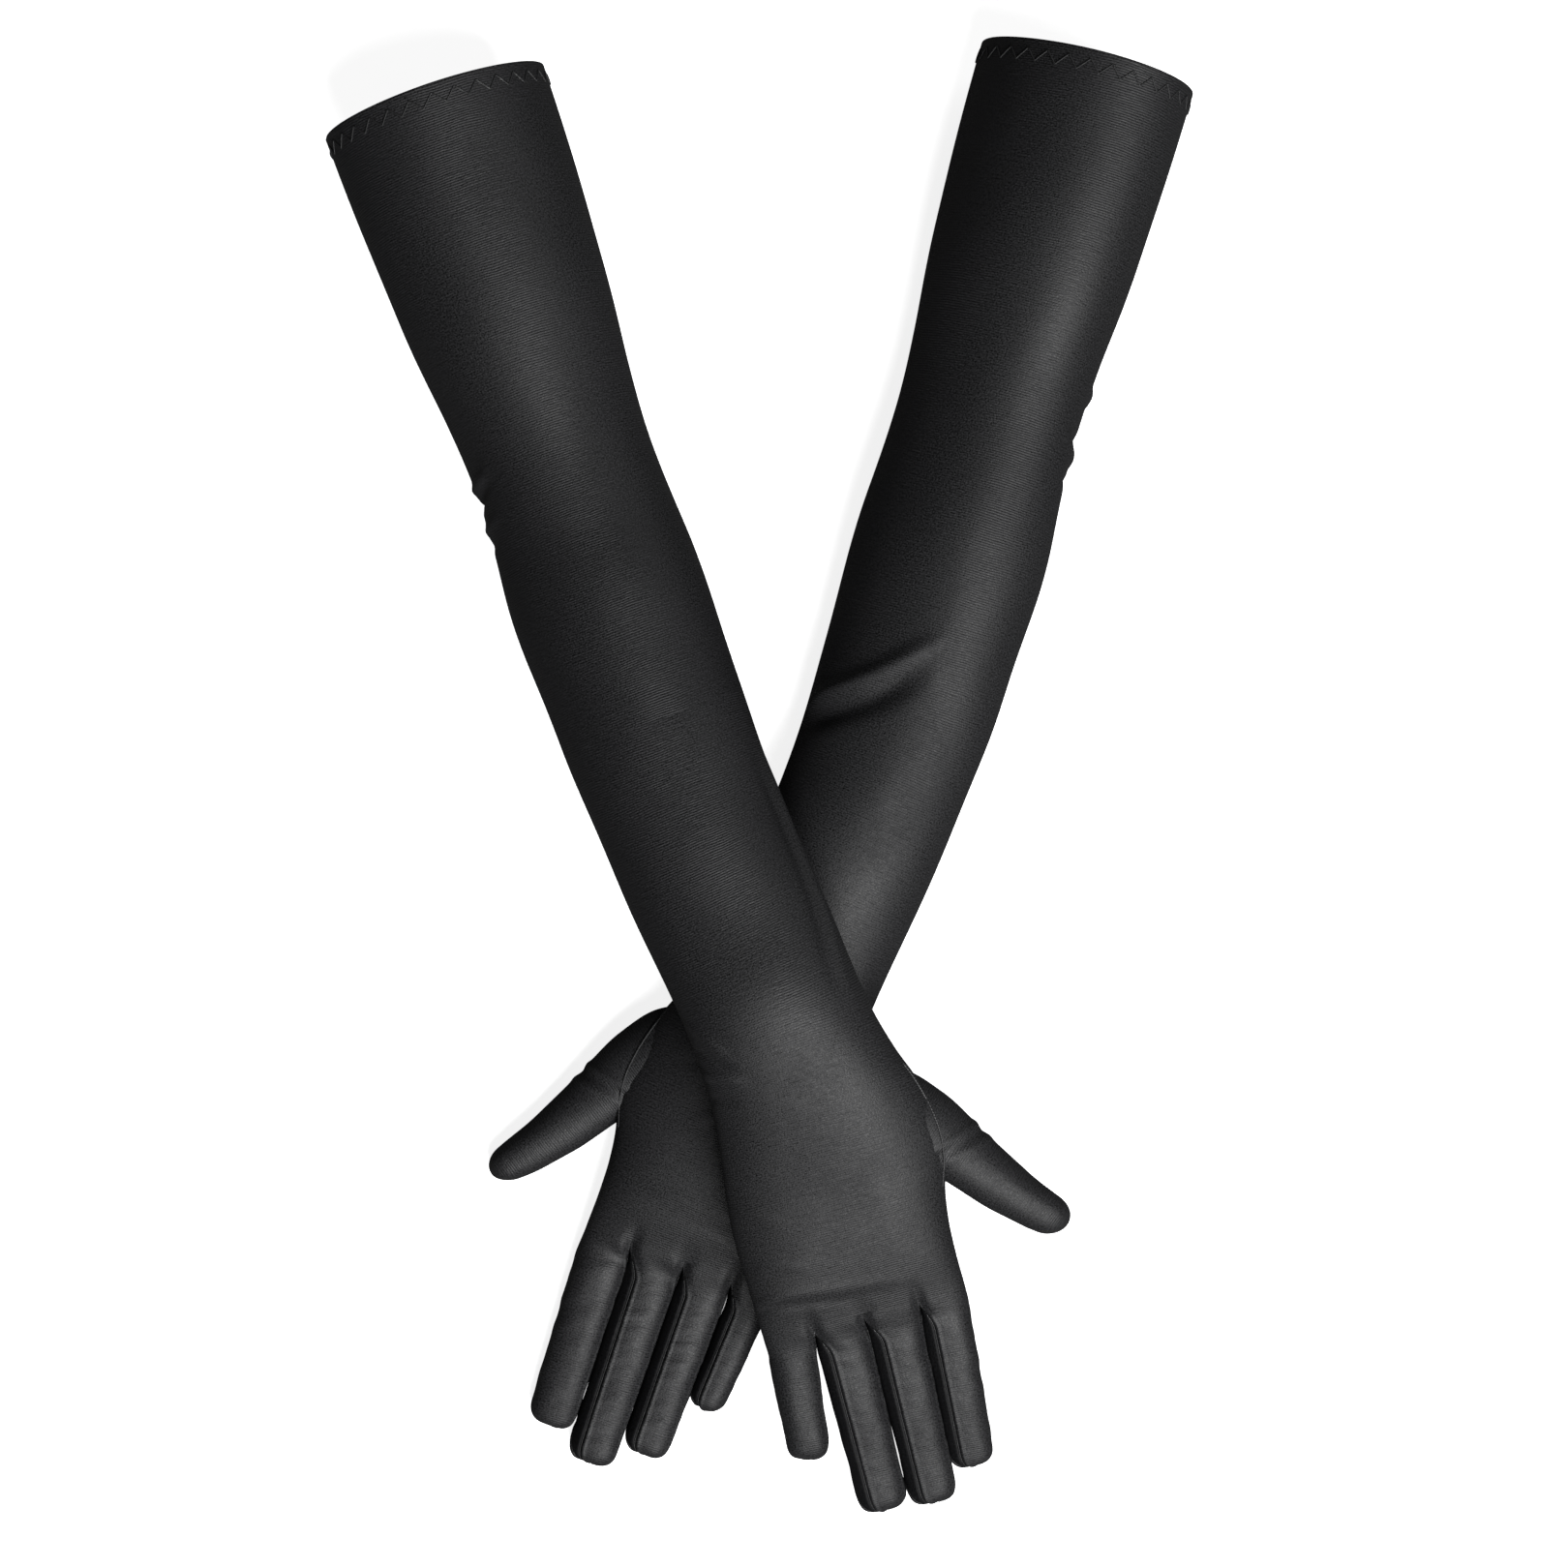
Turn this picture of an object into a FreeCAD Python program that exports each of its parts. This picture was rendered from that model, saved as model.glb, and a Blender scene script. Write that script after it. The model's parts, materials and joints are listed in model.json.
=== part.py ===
import FreeCAD, Part
import math
import os

os.makedirs("parts", exist_ok=True)
Vector = FreeCAD.Vector

# A pair of opera gloves in their worn shape, lying crossed at the wrists with the right glove on
# top. Millimetres, +Z up, fingertips towards -Y, the origin under the middle of the pair.

# cloth and sewing
cloth = 0.6               # thickness of the stretch satin
thread = 0.5              # diameter of the sewing thread
ridge_proud = 0.35        # how far a sewn ridge stands off the cloth
ridge_width = 1.2
hem_depth = 18.0          # depth of the turned-in band at the arm opening
stitch_inset = 4.0        # edge of the opening to the first points of the zigzag
stitch_height = 5.0
stitch_pitch = 8.0
side_seam_inset = stitch_inset + stitch_height + 1.5    # edge of the opening to the side seam's ridge
seam_clearance = 0.4      # between one finger's ridges and the next finger's
stitch_gap = 1.6          # left free between two stitches, in thread diameters

# lengths along the arm, from the wrist
sleeve_length = 360.0     # wrist to the arm opening
upper_place = 285.0
elbow_place = 220.0
forearm_place = 172.0
narrow_place = 70.0
palm_place = 82.0         # wrist to the widest part of the palm
knuckle_place = 108.0     # wrist to the start of the knuckle band
finger_place = 121.0      # wrist to the roots of the fingers
end_place = 200.0         # wrist to just past the longest fingertip

# stretch zones, where the cloth bends over a joint of the arm
elbow_zone = 80.0
wrist_zone = 60.0

# widths and heights of the filled glove
cuff_width = 83.0
cuff_height = 75.0
upper_width = 78.0
upper_height = 70.0
elbow_width = 67.5
elbow_height = 61.0
forearm_width = 71.5
forearm_height = 60.0
narrow_width = 65.5
narrow_height = 50.0
wrist_width = 64.0
wrist_height = 42.0
palm_width = 79.0
palm_height = 31.0
knuckle_width = 79.0
knuckle_height = 26.0
root_height = 18.0        # height of the hand at the roots of the fingers

# fingers: places of the tips along the hand from the wrist, and across it towards the thumb
finger_pitch = 19.5       # from one finger's middle to the next at the roots
tip_along = {"index": 190.0, "middle": 199.5, "ring": 194.0, "little": 168.0}
tip_across = {"index": 24.5, "middle": 6.5, "ring": -12.0, "little": -31.0}
tip_width = {"index": 16.5, "middle": 16.5, "ring": 16.5, "little": 14.5}
finger_height = 16.5
finger_tip_height = 14.0
finger_waist = 0.35       # share of a finger's length at which it has reached its usual width
strip_root = 9.0          # width of a side strip of a finger at the root
strip_tip = 3.5
strip_end = 5.0           # fingertip to the pointed end of the side strip
strip_overrun = 3.0       # how far the cutting plates reach past the finger's root
plate_top = 200.0         # over the highest part of either glove

# thumb: its middle line runs from inside the palm to the tip
thumb_root = (24.0, 14.0)
thumb_tip = (106.5, 83.0)
thumb_root_width = 23.0
thumb_root_height = 25.0
thumb_ball_place = 30.0   # from the root, as the next two
thumb_ball_width = 26.0
thumb_neck_place = 55.0
thumb_neck_width = 21.0
thumb_width = 19.0
thumb_height = 18.0
thumb_seam_across = palm_width / 2 + 4.5    # the set-in seam, from the middle of the hand
thumb_free_place = 66.0   # from the root to where the thumb moves freely

# the right wrist rests on the left one; fingers and elbow of the right glove come down to the floor
crossing_gap = 4.5        # between the left wrist and the highest part of the right one's underside
crossing_lift = wrist_height + crossing_gap
crossing_flat = 10.0      # half the length that lies level over the left wrist
crossing_fall = 40.0      # from the wrist to where the right glove slopes down faster
fall_drop = 6.0
root_drop = 24.0
elbow_rise = 3.0

# how each glove lies: the wrist's place, its headings along the arm, and the height of its
# underside over the floor, each against the distance from the wrist
poses = {
    "right": {
        "side": 1,
        "wrist": (8.2, -87.9),
        "spread": 2.5,
        "headings": [(-sleeve_length, 19.3), (-160, 19.8), (-82, 21.5), (-40, 26), (0, 22), (30, 15),
                     (end_place, 15)],
        "lifts": [(-elbow_place, 0), (-elbow_place + 30, elbow_rise),
                  (-crossing_fall, crossing_lift - fall_drop - 0.5), (-crossing_flat, crossing_lift),
                  (crossing_flat, crossing_lift), (crossing_fall, crossing_lift - fall_drop),
                  (finger_place, crossing_lift - root_drop), (end_place, 0)],
    },
    "left": {
        "side": -1,
        "wrist": (13.8, -74.0),
        "spread": -2.0,
        "headings": [(-sleeve_length, 16.5), (-250, 15.5), (-120, 15), (-60, 22), (0, 24.5), (30, 20),
                     (end_place, 20)],
        "lifts": [(-sleeve_length, 0), (end_place, 0)],
    },
}
fingers = ["index", "middle", "ring", "little"]
finger_sides = {"index": [-1], "middle": [1, -1], "ring": [1, -1], "little": [1]}
finger_fullness = 2.4
sewing = {"hem_stitches": 0.0, "thumb_seam_ridge": 1.2}    # lowest height that the thread reaches
section_points = 24
tip_shares = [0.4, 0.7, 0.9, 0.99]
closest_stop = 6.0        # least distance between two outlines that shape the arm
walk_step = 2.0           # length of the steps that the middle line is walked in


# value at one place in a list of (place, value) pairs, straight between them
def between(table, place):
    if place <= table[0][0]:
        return table[0][1]
    for (low, start), (high, end) in zip(table, table[1:]):
        if place <= high:
            return start + (end - start) * (place - low) / (high - low)
    return table[-1][1]


# unit vectors along the arm towards the fingers and across it towards the thumb
def directions(pose, heading):
    turn = math.radians(heading)
    along = Vector(pose["side"] * math.sin(turn), -math.cos(turn), 0)
    across = Vector(pose["side"] * math.cos(turn), math.sin(turn), 0)
    return along, across


# point of the arm's middle line over the floor plan, walked from the wrist in short steps
def middle_line(pose, place):
    point = Vector(pose["wrist"][0], pose["wrist"][1], 0)
    count = max(1, round(abs(place) / walk_step))
    stride = place / count
    for index in range(count):
        heading = between(pose["headings"], (index + 0.5) * stride)
        point = point + directions(pose, heading)[0] * stride
    return point


# closed outline in an upright plane: a superellipse, 2 is an ellipse and more is boxier
def outline(centre, across, width, height, fullness):
    points = []
    for index in range(section_points):
        angle = 2 * math.pi * index / section_points
        sideways = math.copysign(abs(math.cos(angle)) ** (2 / fullness), math.cos(angle)) * width / 2
        upward = math.copysign(abs(math.sin(angle)) ** (2 / fullness), math.sin(angle)) * height / 2
        points.append(centre + across * sideways + Vector(0, 0, upward))
    curve = Part.BSplineCurve()
    curve.interpolate(Points=points, PeriodicFlag=True)
    return Part.Wire(curve.toShape())


# width, height and fullness of the arm and the hand at one place
def arm_size(pose, place):
    spread = pose["spread"]
    widths = [(-sleeve_length, cuff_width + spread), (-upper_place, upper_width + spread / 2),
              (-elbow_place, elbow_width), (-forearm_place, forearm_width), (-narrow_place, narrow_width),
              (0, wrist_width), (palm_place, palm_width), (knuckle_place, knuckle_width),
              (finger_place, 4 * finger_pitch)]
    heights = [(-sleeve_length, cuff_height - spread), (-upper_place, upper_height - spread / 2),
               (-elbow_place, elbow_height), (-forearm_place, forearm_height),
               (-narrow_place, narrow_height), (0, wrist_height), (palm_place, palm_height),
               (knuckle_place, knuckle_height), (finger_place, root_height)]
    fullness = [(0, 2.0), (palm_place, 2.3), (finger_place, 3.2)]
    return between(widths, place), between(heights, place), between(fullness, place)


# the arm's outline at one place, drawn in by some depth under the outer face
def arm_outline(pose, place, depth):
    width, height, fullness = arm_size(pose, place)
    centre = middle_line(pose, place)
    centre.z = between(pose["lifts"], place) + height / 2
    across = directions(pose, between(pose["headings"], place))[1]
    return outline(centre, across, width - 2 * depth, height - 2 * depth, fullness)


# places of the outlines that shape the arm between two places
def arm_stops(start, end):
    stops = [-upper_place, -elbow_place - elbow_zone / 3, -elbow_place, -forearm_place,
             -(forearm_place + narrow_place) / 2, -narrow_place, -narrow_place / 2, 0, palm_place / 3,
             palm_place * 2 / 3, palm_place]
    return [start] + [stop for stop in stops if start + closest_stop < stop < end - closest_stop] + [end]


# solid of the arm between two places, drawn in by some depth
def arm_solid(pose, start, end, depth):
    return Part.makeLoft([arm_outline(pose, stop, depth) for stop in arm_stops(start, end)], True)


# tube of cloth between two places
def arm_tube(pose, start, end, outer_depth=0.0, thickness=cloth):
    outer = arm_solid(pose, start, end, outer_depth)
    return outer.cut(arm_solid(pose, start, end, outer_depth + thickness))


# point of the hand's own plan: along it from the wrist and across it towards the thumb
def hand_point(pose, along_place, across_place):
    along, across = directions(pose, pose["headings"][-1][1])
    root = middle_line(pose, finger_place)
    return root + along * (along_place - finger_place) + across * across_place


# middle line of a digit: root and tip over the floor plan, unit vectors along and across
def digit_line(pose, root, tip):
    start = hand_point(pose, *root)
    end = hand_point(pose, *tip)
    along = end.sub(start)
    length = along.Length
    along.normalize()
    across = Vector(-along.y, along.x, 0) * pose["side"]
    return start, along, across, length


# height of a point of the hand's underside over the floor
def underside(pose, along_place):
    return between(pose["lifts"], along_place)


# solid of a digit with a rounded tip, drawn in by some depth; stops are (place, width, height)
def digit_solid(pose, root, tip, stops, depth, root_across=None):
    start, along, across, length = digit_line(pose, root, tip)
    tip_radius = stops[-1][1] / 2
    sizes = [(place, width, height, 1.0) for place, width, height in stops]
    for share in tip_shares:
        place = length - tip_radius + tip_radius * share
        sizes.append((place, stops[-1][1], stops[-1][2], math.sqrt(1 - share * share)))
    wires = []
    for place, width, height, scale in sizes:
        reach = place * (length - depth) / length
        centre = start + along * reach
        centre.z = underside(pose, root[0] + (tip[0] - root[0]) * reach / length) + height / 2
        facing = root_across if root_across is not None and place == 0 else across
        wires.append(outline(centre, facing, (width - 2 * depth) * scale, (height - 2 * depth) * scale,
                             finger_fullness))
    return Part.makeLoft(wires, True, True)


# flat plate in the upright plane along a digit, widened across it; corners are (along, height)
def side_plate(pose, root, tip, corners, near, far):
    start, along, across, length = digit_line(pose, root, tip)
    points = [start + along * place + Vector(0, 0, height) + across * near for place, height in corners]
    face = Part.Face(Part.makePolygon(points + [points[0]]))
    return face.extrude(across * (far - near))


# the plan and the sizes of one finger
def finger_plan(name):
    place = fingers.index(name)
    root = (finger_place, (1.5 - place) * finger_pitch)
    tip = (tip_along[name], tip_across[name])
    width = finger_pitch - 2 * ridge_proud - seam_clearance
    length = math.hypot(tip[0] - root[0], tip[1] - root[1])
    narrow = tip_width[name]
    stops = [(0, width, root_height), (length * finger_waist, (width + narrow) / 2 + 0.4, finger_height),
             (length - narrow / 2, narrow, finger_tip_height)]
    return root, tip, length, stops


# height of a finger's middle over the floor at some distance from its root
def finger_middle(pose, name, place):
    root, tip, length, stops = finger_plan(name)
    heights = [(stop, height) for stop, width, height in stops]
    along_place = root[0] + (tip[0] - root[0]) * place / length
    return underside(pose, along_place) + between(heights, place) / 2


# corners of the side strip of a finger, grown or shrunk by some amount
def strip_corners(pose, name, grow):
    places = strip_places(name)
    heights = [finger_middle(pose, name, place) for place in places]
    halves = [strip_root / 2 + grow, (strip_root + strip_tip) / 4 + 1 + grow, strip_tip / 2 + grow]
    places[2] += grow
    lower = [(place, height - half) for place, height, half in zip(places, heights, halves)]
    upper = [(place, height + half) for place, height, half in zip(places, heights, halves)]
    return lower + upper[::-1]


# places of a side strip's corners from the root of its finger
def strip_places(name):
    length = finger_plan(name)[2]
    return [-strip_overrun, length * finger_waist, length - strip_end]


# plate that holds everything above a finger's middle surface
def back_plate(pose, name):
    root, tip, length, stops = finger_plan(name)
    line = [(place, finger_middle(pose, name, place)) for place in strip_places(name)]
    line.append((length + 5, line[-1][1] + line[-1][1] - finger_middle(pose, name, length - 2 * strip_end - 5)))
    corners = line + [(length + 5, plate_top), (-strip_overrun, plate_top)]
    return side_plate(pose, root, tip, corners, -finger_pitch, finger_pitch)


# the pieces of one finger: panels, side strips and the ridges of the seams between them
def finger_pieces(pose, name):
    root, tip, length, stops = finger_plan(name)
    root_across = directions(pose, pose["headings"][-1][1])[1]
    outer = digit_solid(pose, root, tip, stops, 0.0, root_across)
    shell = outer.cut(digit_solid(pose, root, tip, stops, cloth, root_across))
    skin = digit_solid(pose, root, tip, stops, -ridge_proud, root_across).cut(outer)
    pieces = {}
    panel = shell
    ridges = []
    for side in finger_sides[name]:
        reach = side * finger_pitch
        strip = side_plate(pose, root, tip, strip_corners(pose, name, 0), 0, reach)
        wide = side_plate(pose, root, tip, strip_corners(pose, name, ridge_width / 2), 0, reach)
        narrow = side_plate(pose, root, tip, strip_corners(pose, name, -ridge_width / 2), 0, reach)
        ridges += skin.common(wide.cut(narrow)).Solids
        facing = "thumb" if side > 0 else "outer"
        pieces["fourchette_" + name + "_" + facing + "_side"] = shell.common(strip)
        panel = panel.cut(strip)
    if len(finger_sides[name]) == 2:
        back = back_plate(pose, name)
        pieces[name + "_back"] = panel.common(back)
        pieces[name + "_palm"] = panel.cut(back)
    else:
        pieces[name + "_panel"] = panel
    pieces[name + "_seam_ridges"] = Part.makeCompound(ridges)
    return pieces


# upright block over a stretch of the hand's plan
def hand_block(pose, along_low, along_high, across_low, across_high):
    corners = [(along_low, across_low), (along_high, across_low), (along_high, across_high),
               (along_low, across_high)]
    points = [hand_point(pose, *corner) - Vector(0, 0, 50) for corner in corners]
    return Part.Face(Part.makePolygon(points + [points[0]])).extrude(Vector(0, 0, 250))


# solid of the thumb from inside the palm to its tip, drawn in by some depth
def thumb_solid(pose, depth):
    length = math.dist(thumb_root, thumb_tip)
    stops = [(0, thumb_root_width, thumb_root_height),
             (thumb_ball_place, thumb_ball_width, (thumb_root_height + thumb_height) / 2 + 3),
             (thumb_neck_place, thumb_neck_width, thumb_height + 2),
             ((thumb_neck_place + length) / 2, thumb_width, thumb_height),
             (length - thumb_width / 2, thumb_width - 0.5, thumb_height - 1.5)]
    whole = digit_solid(pose, thumb_root, thumb_tip, stops, depth)
    return whole.common(hand_block(pose, wrist_zone / 2, 300, -100, 300))


# the hand with the thumb grown out of it, and the pieces that it is sewn from
def hand_pieces(pose):
    start = wrist_zone / 2
    outer = arm_solid(pose, start, knuckle_place, 0.0).fuse(thumb_solid(pose, 0.0))
    inner = arm_solid(pose, start, knuckle_place, cloth).fuse(thumb_solid(pose, cloth))
    fat = arm_solid(pose, start, knuckle_place, -ridge_proud).fuse(thumb_solid(pose, -ridge_proud))
    shell = outer.cut(inner)
    thumb_side = hand_block(pose, -100, 300, thumb_seam_across, 300)
    seam = hand_block(pose, -100, 300, thumb_seam_across - ridge_width / 2, thumb_seam_across + ridge_width / 2)
    length = math.dist(thumb_root, thumb_tip)
    far = length + thumb_width
    corners = [(thumb_free_place, -50), (far, -50), (far, plate_top), (thumb_free_place, plate_top)]
    free = side_plate(pose, thumb_root, thumb_tip, corners, -40, 40)
    digit = shell.common(thumb_side)
    return {
        "hand_panel": shell.cut(thumb_side),
        "thumb_base": digit.cut(free),
        "thumb": digit.common(free),
        "thumb_seam_ridge": fat.cut(outer).common(seam),
    }


# cloth between the palm and the fingers, closed between the roots of the fingers
def knuckle_band(pose):
    tube = arm_tube(pose, knuckle_place, finger_place)
    end = arm_solid(pose, knuckle_place, finger_place, 0.0)
    end = end.common(hand_block(pose, finger_place - cloth, finger_place + 10, -100, 100))
    along, across = directions(pose, pose["headings"][-1][1])
    for name in fingers:
        root, tip, length, stops = finger_plan(name)
        centre = hand_point(pose, *root) - along * 2 * cloth
        centre.z = underside(pose, finger_place) + root_height / 2
        mouth = outline(centre, across, stops[0][1] - 2 * cloth, root_height - 2 * cloth, finger_fullness)
        end = end.cut(Part.Face(mouth).extrude(along * 4 * cloth))
    return tube.fuse(end)


# sewn ridge along the little-finger side of the arm between two places, sunk half into the cloth
def side_seam(pose, start, end):
    wires = []
    for place in arm_stops(start, end):
        width, height, fullness = arm_size(pose, place)
        across = directions(pose, between(pose["headings"], place))[1]
        centre = middle_line(pose, place)
        centre.z = between(pose["lifts"], place) + height / 2
        sides = [(-cloth / 2, -1), (ridge_proud, -1), (ridge_proud, 1), (-cloth / 2, 1)]
        corners = [centre - across * (width / 2 + out) + Vector(0, 0, up * ridge_width / 2) for out, up in sides]
        wires.append(Part.makePolygon(corners + [corners[0]]))
    return Part.makeLoft(wires, True)


# zigzag of stitches round the arm opening, each stitch a short rod sunk half into the cloth
def hem_stitches(pose):
    round_length = math.pi * (cuff_width + cuff_height) / 2
    count = 2 * round(round_length / stitch_pitch)
    points = []
    for index in range(count):
        place = -sleeve_length + stitch_inset + stitch_height * (index % 2)
        width, height, fullness = arm_size(pose, place)
        angle = 2 * math.pi * index / count
        centre = middle_line(pose, place)
        centre.z = between(pose["lifts"], place) + height / 2
        across = directions(pose, between(pose["headings"], place))[1]
        points.append(centre + across * math.cos(angle) * width / 2 + Vector(0, 0, math.sin(angle) * height / 2))
    rods = []
    for first, second in zip(points, points[1:] + points[:1]):
        reach = second - first
        length = reach.Length - stitch_gap * thread
        reach.normalize()
        rods.append(Part.makeCylinder(thread / 2, length, first + reach * (stitch_gap / 2 * thread), reach))
    return Part.makeCompound(rods)


# every piece of one glove by name
def glove_pieces(pose):
    elbow_start = -elbow_place - elbow_zone / 2
    elbow_end = -elbow_place + elbow_zone / 2
    wrist_end = wrist_zone / 2
    pieces = {
        "sleeve_upper": arm_tube(pose, -sleeve_length, elbow_start),
        "cuff_hem": arm_tube(pose, -sleeve_length, -sleeve_length + hem_depth, cloth),
        "hem_stitches": hem_stitches(pose),
        "elbow_stretch": arm_tube(pose, elbow_start, elbow_end),
        "sleeve_forearm": arm_tube(pose, elbow_end, -wrist_end),
        "wrist_stretch": arm_tube(pose, -wrist_end, wrist_end),
        "knuckle_band": knuckle_band(pose),
        "side_seam_upper": side_seam(pose, -sleeve_length + side_seam_inset, elbow_start),
        "side_seam_forearm": side_seam(pose, elbow_end, -wrist_end),
    }
    pieces.update(hand_pieces(pose))
    for name in fingers:
        pieces.update(finger_pieces(pose, name))
    return pieces


# thread cut off under some height, where the glove lies on it
def pressed_flat(shape, height):
    floor = Part.makeBox(2000, 2000, 50, Vector(-1000, -1000, height - 50))
    solids = [solid.cut(floor) if solid.BoundBox.ZMin < height else solid for solid in shape.Solids]
    return Part.makeCompound(solids)


# both gloves, moved together so that the pair's box stands over the origin
def pair():
    pieces = {}
    for glove, pose in poses.items():
        for name, shape in glove_pieces(pose).items():
            pieces[glove + "_" + name] = pressed_flat(shape, sewing[name]) if name in sewing else shape
    box = Part.makeCompound(list(pieces.values())).optimalBoundingBox(False)
    shift = Vector(-(box.XMin + box.XMax) / 2, -(box.YMin + box.YMax) / 2, -box.ZMin)
    for shape in pieces.values():
        shape.translate(shift)
    return pieces, shift


pieces, shift = pair()
for name, shape in pieces.items():
    shape.exportStep("parts/" + name + ".step")
print("shift", [round(value, 3) for value in shift], "pieces", len(pieces))
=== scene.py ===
import bpy
import json
import mathutils
import numpy as np
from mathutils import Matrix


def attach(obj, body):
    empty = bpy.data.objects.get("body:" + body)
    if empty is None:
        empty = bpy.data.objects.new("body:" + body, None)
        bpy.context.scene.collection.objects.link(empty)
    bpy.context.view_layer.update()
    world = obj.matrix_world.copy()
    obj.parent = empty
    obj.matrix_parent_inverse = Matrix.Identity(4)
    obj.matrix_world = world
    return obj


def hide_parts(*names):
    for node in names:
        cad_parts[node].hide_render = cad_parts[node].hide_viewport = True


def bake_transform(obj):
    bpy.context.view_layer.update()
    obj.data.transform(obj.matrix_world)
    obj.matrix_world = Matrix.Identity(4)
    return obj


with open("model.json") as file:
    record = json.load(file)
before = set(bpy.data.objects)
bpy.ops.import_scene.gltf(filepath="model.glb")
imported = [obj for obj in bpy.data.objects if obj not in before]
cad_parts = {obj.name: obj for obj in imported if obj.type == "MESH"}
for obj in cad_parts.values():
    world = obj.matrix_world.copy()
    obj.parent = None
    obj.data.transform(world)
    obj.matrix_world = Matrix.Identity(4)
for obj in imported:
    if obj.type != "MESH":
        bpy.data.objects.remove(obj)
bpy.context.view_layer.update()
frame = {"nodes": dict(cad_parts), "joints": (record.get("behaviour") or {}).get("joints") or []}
joints = {joint["name"]: joint for joint in frame["joints"]}
print("frame loaded,", len(frame["nodes"]), "nodes")

# How each glove lies. Lengths in metres, places along the arm from the wrist and towards the fingertips.
# headings turn the arm in plan, lifts hold its underside off the floor, lean rolls its section.
gloveLie = {
    "right": {
        "side": 1, "wristJoint": "right_wrist_raise", "stripSide": -1,
        "headings": [(-0.36, 19.3), (-0.16, 19.8), (-0.082, 21.5), (-0.04, 26), (0, 22), (0.03, 15),
                     (0.2, 15)],
        "lifts": [(-0.22, 0), (-0.19, 0.003), (-0.04, 0.040), (-0.01, 0.0465), (0.01, 0.0465),
                  (0.04, 0.0405),
                  (0.121, 0.0225), (0.2, 0)],
        "lean": [(-0.36, 0.04), (-0.1, 0), (0.2, 0)],
        "cuffSpread": 0.0025, "cuffPlace": -0.361, "thumb": {"root": (0.0360, 0.0213),
                                                             "tip": (0.1068, 0.0815)},
    },
    "left": {
        "side": -1, "wristJoint": "left_wrist_drop", "stripSide": 1,
        "headings": [(-0.36, 16.5), (-0.25, 15.6), (-0.12, 16.8), (-0.06, 23), (0, 24.5), (0.03, 20),
                     (0.2, 20)],
        "lifts": [(-0.36, 0), (0.2, 0)],
        "lean": [(-0.36, 0.26), (-0.10, 0.24), (-0.01, 0), (0.2, 0)],
        "cuffSpread": -0.002, "cuffPlace": -0.3535,
        "thumb": {"root": (0.0334, 0.0253), "tip": (0.1135, 0.0793)},
    },
}

# Sizes of the filled arm and hand at places along it.
armShape = {
    "splitPlace": -0.115, "knucklePlace": 0.118,
    "radialHalf": [(-0.36, 0.0415), (-0.325, 0.0408), (-0.285, 0.039), (-0.245, 0.0355), (-0.22, 0.0338),
                   (-0.172, 0.0357), (-0.12, 0.0345), (-0.07, 0.0328), (-0.03, 0.0322), (0, 0.032),
                   (0.012, 0.0330),
                   (0.025, 0.0362), (0.037, 0.0408), (0.050, 0.0440), (0.061, 0.0448), (0.070, 0.0435),
                   (0.080, 0.0405), (0.092, 0.0388), (0.104, 0.0385), (0.118, 0.0387)],
    "outerHalf": [(-0.36, 0.0415), (-0.325, 0.0408), (-0.285, 0.039), (-0.245, 0.0355), (-0.22, 0.0338),
                  (-0.172, 0.0369), (-0.12, 0.0362), (-0.07, 0.0345), (-0.03, 0.0338), (0, 0.0333),
                  (0.02, 0.0334),
                  (0.04, 0.0352), (0.063, 0.0380), (0.086, 0.0396), (0.104, 0.0394), (0.118, 0.0392)],
    "height": [(-0.36, 0.075), (-0.285, 0.070), (-0.22, 0.061), (-0.172, 0.060), (-0.12, 0.055),
               (-0.07, 0.050),
               (-0.03, 0.0445), (0, 0.042), (0.03, 0.038), (0.06, 0.0335), (0.082, 0.031), (0.104, 0.0265),
               (0.118, 0.0205), (0.128, 0.0185), (0.2, 0.016)],
    "fullness": [(-0.36, 2.0), (0, 2.0), (0.06, 2.15), (0.09, 2.4), (0.118, 3.0), (0.2, 3.0)],
    "crotchAcross": [0.0203, -0.0010, -0.0202],
    "crotchDip": 0.0030, "crotchDipWidth": 0.0024, "crotchDipReach": 0.010,
    "cloth": 0.0005, "hemDepth": 0.018, "foldRadius": 0.0008,
    "rows": 0.0011, "columns": 200, "elbowBlend": (-0.285, -0.155), "wristBlend": (-0.012, 0.036),
}


# The middle line is walked in short steps, between these places for its corners and for its plan.
lineWalk = {"step": 0.001, "corners": (-0.46, 0.30), "plan": (-0.42, 0.26), "bellWidth": 12.0,
            "bellReach": 30}


# Smooth curve through (place, value) stops: cubic pieces whose slopes are those between the neighbours.
def curveThrough(stops, places):
    x = np.array([stop[0] for stop in stops], float)
    y = np.array([stop[1] for stop in stops], float)
    slope = np.gradient(y, x)
    places = np.clip(places, x[0], x[-1])
    index = np.clip(np.searchsorted(x, places, side="right") - 1, 0, len(x) - 2)
    span = x[index + 1] - x[index]
    t = (places - x[index]) / span
    return ((2 * t**3 - 3 * t**2 + 1) * y[index] + (t**3 - 2 * t**2 + t) * span * slope[index]
            + (3 * t**2 - 2 * t**3) * y[index + 1] + (t**3 - t**2) * span * slope[index + 1])


# Eased step from 0 at low to 1 at high.
def smoothStep(low, high, values):
    t = np.clip((values - low) / (high - low), 0, 1)
    return t * t * (3 - 2 * t)


# A power that keeps the sign, which turns sines and cosines into superellipses.
def signedPower(values, power):
    return np.sign(values) * np.abs(values) ** power


# Half width of the arm or hand at places along it, towards the thumb or away from it.
def halfWidth(along, toThumb):
    return np.where(toThumb, curveThrough(armShape["radialHalf"], along),
                    curveThrough(armShape["outerHalf"], along))


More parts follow.
